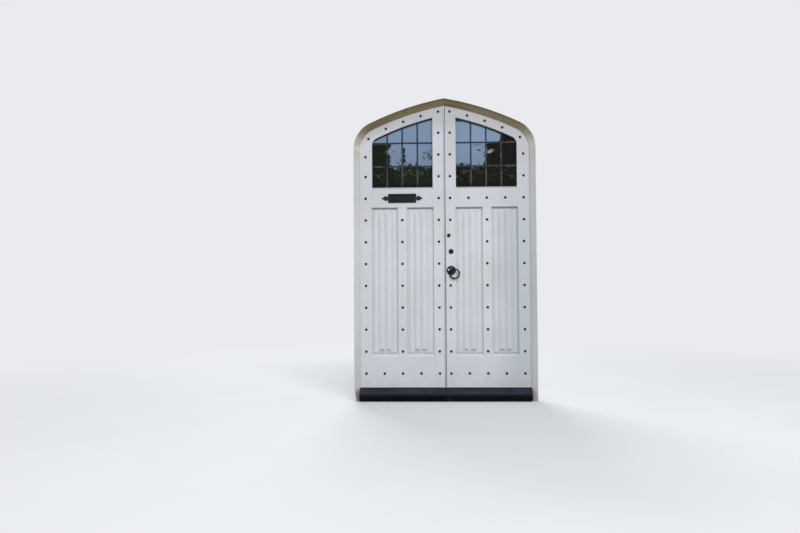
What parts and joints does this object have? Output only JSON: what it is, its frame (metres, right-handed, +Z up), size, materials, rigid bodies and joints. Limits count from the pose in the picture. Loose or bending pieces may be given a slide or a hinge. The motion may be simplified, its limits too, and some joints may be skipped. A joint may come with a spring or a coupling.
{
  "type": "arched double door with frame",
  "caption": "Pair of white framed timber leaves under a pointed arch, with folded panels, leaded lights, black studs, a ring handle, a letter plate and a rebated frame with a black sill.",
  "frame": {"origin": "on the sill's underside, on the meeting line of the two leaves, in the plane of the leaves' outer faces", "axes": "+X to the right seen from outside, +Y into the building, +Z up; the outside faces -Y"},
  "size_m": [1.405, 0.1633, 2.337],
  "materials": {
    "white_paint": "white gloss paint, weathered",
    "stained_head": "white paint worn through to brown timber along the curved head",
    "black_sill": "black painted timber",
    "black_iron": "black, hammered and worn",
    "lead": "dull grey lead",
    "quarry_glass": "clear, slightly uneven",
    "steel": "plain steel",
    "brass": "dull brass",
    "seal": "matt"
  },
  "bodies": {
    "frame": {"jamb_left": "white_paint", "jamb_right": "white_paint", "head_left": "stained_head", "head_right": "stained_head", "sill": "black_sill", "frame_seal": "seal", "bolt_keeps": "black_iron", "hinge_frame_leaves": "steel", "hinge_pins": "steel"},
    "leaf_left": {"hinge_stile_left": "white_paint", "meeting_stile_left": "white_paint", "bottom_rail_left": "white_paint", "frieze_rail_left": "white_paint", "top_rail_left": "white_paint", "muntin_left": "white_paint", "panel_outer_left": "white_paint", "panel_inner_left": "white_paint", "leadwork_left": "lead", "quarries_left": "quarry_glass", "glazing_beads_left": "white_paint", "studs_left": "black_iron", "hinge_leaves_left": "steel", "letter_plate": "black_iron", "letter_inner_plate": "black_iron", "bolt_plates": "black_iron", "meeting_seal": "seal", "lock_keeps": "black_iron"},
    "leaf_right": {"hinge_stile_right": "white_paint", "meeting_stile_right": "white_paint", "bottom_rail_right": "white_paint", "frieze_rail_right": "white_paint", "top_rail_right": "white_paint", "muntin_right": "white_paint", "panel_outer_right": "white_paint", "panel_inner_right": "white_paint", "leadwork_right": "lead", "quarries_right": "quarry_glass", "glazing_beads_right": "white_paint", "studs_right": "black_iron", "hinge_leaves_right": "steel", "ring_rose": "black_iron", "latch_case": "black_iron", "night_cylinder": "black_iron", "night_case": "black_iron", "keyhole_plates": "black_iron", "deadlock_case": "steel"},
    "ring_handle": {"ring_spindle": "black_iron", "latch_follower": "steel", "inner_knob": "black_iron"},
    "pull_ring": {"pull_ring": "black_iron"},
    "latch_bolt": {"latch_bolt": "steel"},
    "night_plug": {"night_plug": "brass"},
    "night_knob": {"night_knob": "black_iron"},
    "night_bolt": {"night_bolt": "steel"},
    "keyhole_cover": {"keyhole_cover": "black_iron"},
    "deadbolt": {"deadbolt": "steel"},
    "letter_flap": {"letter_flap": "black_iron"},
    "letter_inner_flap": {"letter_inner_flap": "black_iron"},
    "bolt_top": {"bolt_rod_top": "black_iron"},
    "bolt_bottom": {"bolt_rod_bottom": "black_iron"}
  },
  "joints": [
    {"name": "leaf_left_swing", "type": "hinge", "parent": "frame", "child": "leaf_left", "pos_m": [-0.672, 0.0633, 1.04], "axis": [0, 0, 1], "range_deg": [0, 100]},
    {"name": "leaf_right_swing", "type": "hinge", "parent": "frame", "child": "leaf_right", "pos_m": [0.672, 0.0633, 1.04], "axis": [0, 0, -1], "range_deg": [0, 100]},
    {"name": "ring_turn", "type": "hinge", "parent": "leaf_right", "child": "ring_handle", "pos_m": [0.049, 0, 0.99794], "axis": [0, -1, 0], "range_deg": [-45, 0]},
    {"name": "ring_lift", "type": "hinge", "parent": "ring_handle", "child": "pull_ring", "pos_m": [0.049, -0.0135, 0.99794], "axis": [-0.7071, 0, -0.7071], "range_deg": [0, 100]},
    {"name": "latch_bolt_slide", "type": "slide", "parent": "leaf_right", "child": "latch_bolt", "axis": [-1, 0, 0], "range_m": [0, 0.0153]},
    {"name": "night_knob_turn", "type": "hinge", "parent": "leaf_right", "child": "night_knob", "pos_m": [0.049, 0.08, 1.28394], "axis": [0, -1, 0], "range_deg": [-45, 0]},
    {"name": "night_bolt_slide", "type": "slide", "parent": "leaf_right", "child": "night_bolt", "axis": [-1, 0, 0], "range_m": [0, 0.0153]},
    {"name": "night_plug_turn", "type": "hinge", "parent": "leaf_right", "child": "night_plug", "pos_m": [0.032, 0.02, 1.26994], "axis": [0, 1, 0], "range_deg": [0, 90]},
    {"name": "deadbolt_slide", "type": "slide", "parent": "leaf_right", "child": "deadbolt", "axis": [-1, 0, 0], "range_m": [0, 0.016]},
    {"name": "keyhole_cover_swing", "type": "hinge", "parent": "leaf_right", "child": "keyhole_cover", "pos_m": [0.049, -0.0015, 1.16049], "axis": [0, 1, 0], "range_deg": [-80, 80]},
    {"name": "letter_flap_lift", "type": "hinge", "parent": "leaf_left", "child": "letter_flap", "pos_m": [-0.3288, -0.0078, 1.5894], "axis": [-1, 0, 0], "range_deg": [0, 100]},
    {"name": "letter_inner_flap_lift", "type": "hinge", "parent": "leaf_left", "child": "letter_inner_flap", "pos_m": [-0.3288, 0.0648, 1.5894], "axis": [1, 0, 0], "range_deg": [0, 100]},
    {"name": "bolt_top_slide", "type": "slide", "parent": "leaf_left", "child": "bolt_top", "axis": [0, 0, 1], "range_m": [0, 0.022]},
    {"name": "bolt_bottom_slide", "type": "slide", "parent": "leaf_left", "child": "bolt_bottom", "axis": [0, 0, -1], "range_m": [0, 0.022]}
  ],
  "couplings": [
    {"joint": "latch_bolt_slide", "follows": "ring_turn", "m_per_rad": -0.0194},
    {"joint": "night_bolt_slide", "follows": "night_knob_turn", "m_per_rad": -0.0194}
  ]
}
